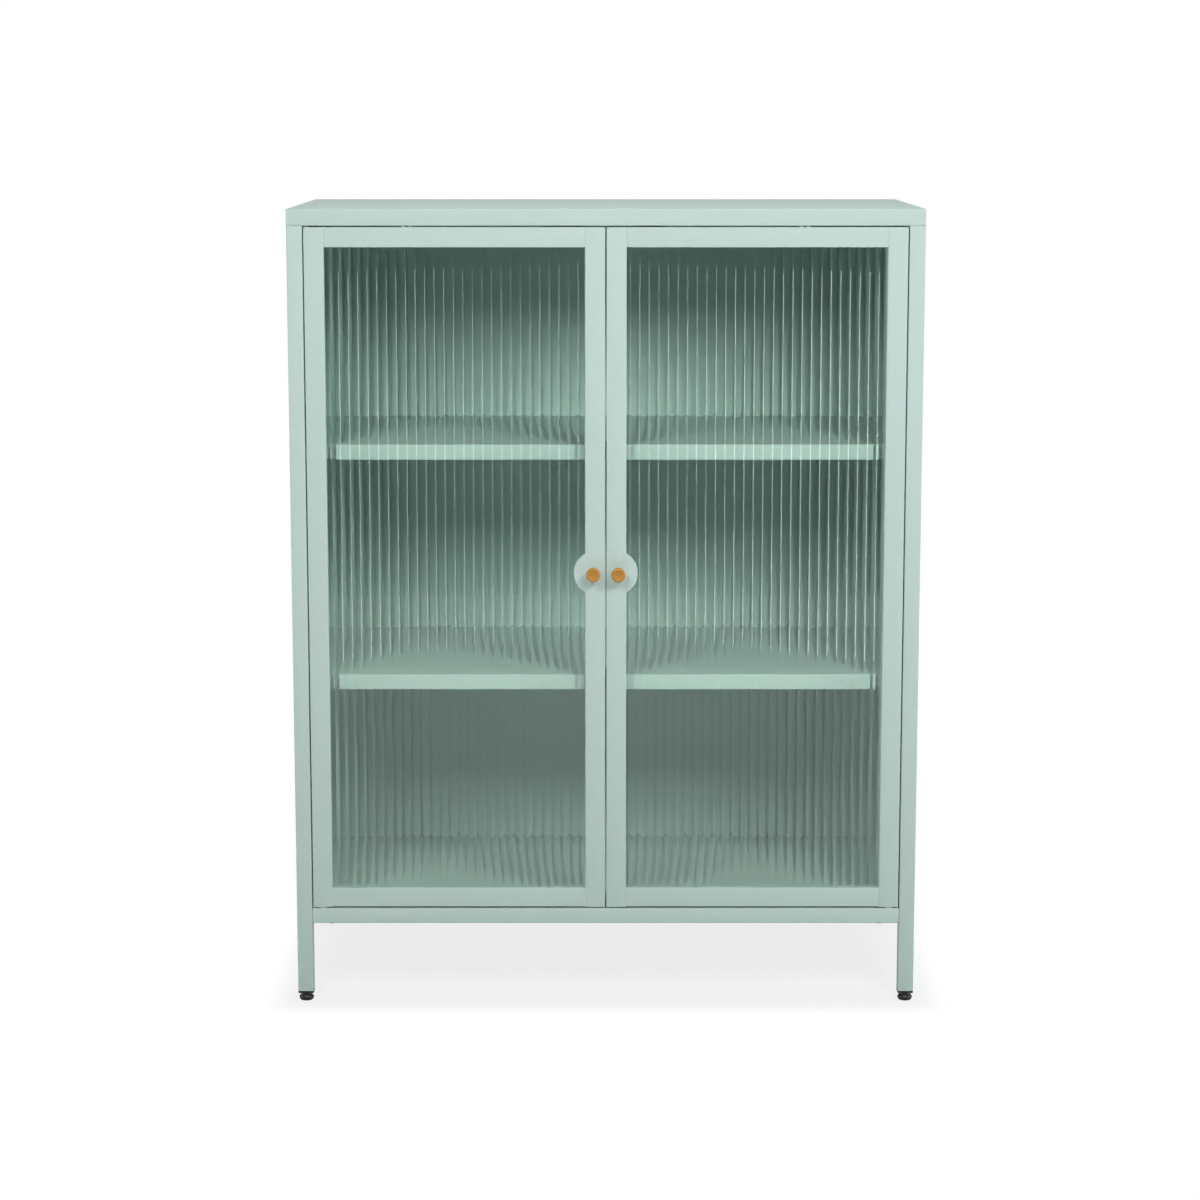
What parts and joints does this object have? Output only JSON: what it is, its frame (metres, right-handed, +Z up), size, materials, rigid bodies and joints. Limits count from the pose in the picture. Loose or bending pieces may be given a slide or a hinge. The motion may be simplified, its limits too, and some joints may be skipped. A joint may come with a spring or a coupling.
{
  "type": "storage cabinet",
  "caption": "Free-standing steel storage cabinet with glazed fluted-glass doors on pivot pins, fixed shelves, round pull plates with brass knobs and levelling feet.",
  "frame": {"origin": "centre of the overall footprint, knobs included, on the floor under the feet", "axes": "+Z up, -Y out of the front of the doors, +X to the right of someone facing the doors"},
  "size_m": [0.8, 0.421, 1.024],
  "materials": {
    "paint": "fine matt powder coat",
    "black_plastic": "moulded matt",
    "zinc_steel": "zinc plated",
    "nylon": "moulded",
    "fluted_glass": "fluted, clear",
    "glazing_tape": "matt",
    "brass": "satin"
  },
  "bodies": {
    "carcass": {"post_front_left": "paint", "post_front_right": "paint", "post_rear_left": "paint", "post_rear_right": "paint", "leg_plug_front_left": "black_plastic", "leg_plug_front_right": "black_plastic", "leg_plug_rear_left": "black_plastic", "leg_plug_rear_right": "black_plastic", "top_panel": "paint", "bottom_panel": "paint", "back_panel": "paint", "side_panel_left": "paint", "side_panel_right": "paint", "shelf_upper": "paint", "shelf_lower": "paint", "shelf_clips": "zinc_steel", "top_bolts": "zinc_steel", "bottom_bolts": "zinc_steel", "side_screws": "zinc_steel", "back_screws": "zinc_steel", "pivot_bushes_upper": "black_plastic", "magnet_catch_left": "nylon", "magnet_catch_right": "nylon", "pivot_bushes_lower": "nylon"},
    "door_left": {"door_left_hinge_stile": "paint", "door_left_meeting_stile": "paint", "door_left_top_rail": "paint", "door_left_bottom_rail": "paint", "door_left_beads": "paint", "door_left_buffer_pads": "paint", "door_left_glass": "fluted_glass", "door_left_glazing_tape": "glazing_tape", "door_left_pivot_pins": "zinc_steel", "strike_plate_left": "zinc_steel", "knob_screw_left": "zinc_steel", "knob_left": "brass"},
    "door_right": {"door_right_hinge_stile": "paint", "door_right_meeting_stile": "paint", "door_right_top_rail": "paint", "door_right_bottom_rail": "paint", "door_right_beads": "paint", "door_right_buffer_pads": "paint", "door_right_glass": "fluted_glass", "door_right_glazing_tape": "glazing_tape", "door_right_pivot_pins": "zinc_steel", "strike_plate_right": "zinc_steel", "knob_screw_right": "zinc_steel", "knob_right": "brass"},
    "foot_front_left": {"foot_front_left": "black_plastic"},
    "foot_front_right": {"foot_front_right": "black_plastic"},
    "foot_rear_left": {"foot_rear_left": "black_plastic"},
    "foot_rear_right": {"foot_rear_right": "black_plastic"}
  },
  "joints": [
    {"name": "door_left_hinge", "type": "hinge", "parent": "carcass", "child": "door_left", "pos_m": [-0.3665, -0.184, 0.5642], "axis": [0, 0, -1], "range_deg": [0, 110]},
    {"name": "door_right_hinge", "type": "hinge", "parent": "carcass", "child": "door_right", "pos_m": [0.3665, -0.184, 0.5642], "axis": [0, 0, 1], "range_deg": [0, 110]},
    {"name": "foot_front_left_screw", "type": "slide", "parent": "carcass", "child": "foot_front_left", "axis": [0, 0, -1], "range_m": [-0.0006, 0.012]},
    {"name": "foot_front_right_screw", "type": "slide", "parent": "carcass", "child": "foot_front_right", "axis": [0, 0, -1], "range_m": [-0.0006, 0.012]},
    {"name": "foot_rear_left_screw", "type": "slide", "parent": "carcass", "child": "foot_rear_left", "axis": [0, 0, -1], "range_m": [-0.0006, 0.012]},
    {"name": "foot_rear_right_screw", "type": "slide", "parent": "carcass", "child": "foot_rear_right", "axis": [0, 0, -1], "range_m": [-0.0006, 0.012]}
  ]
}
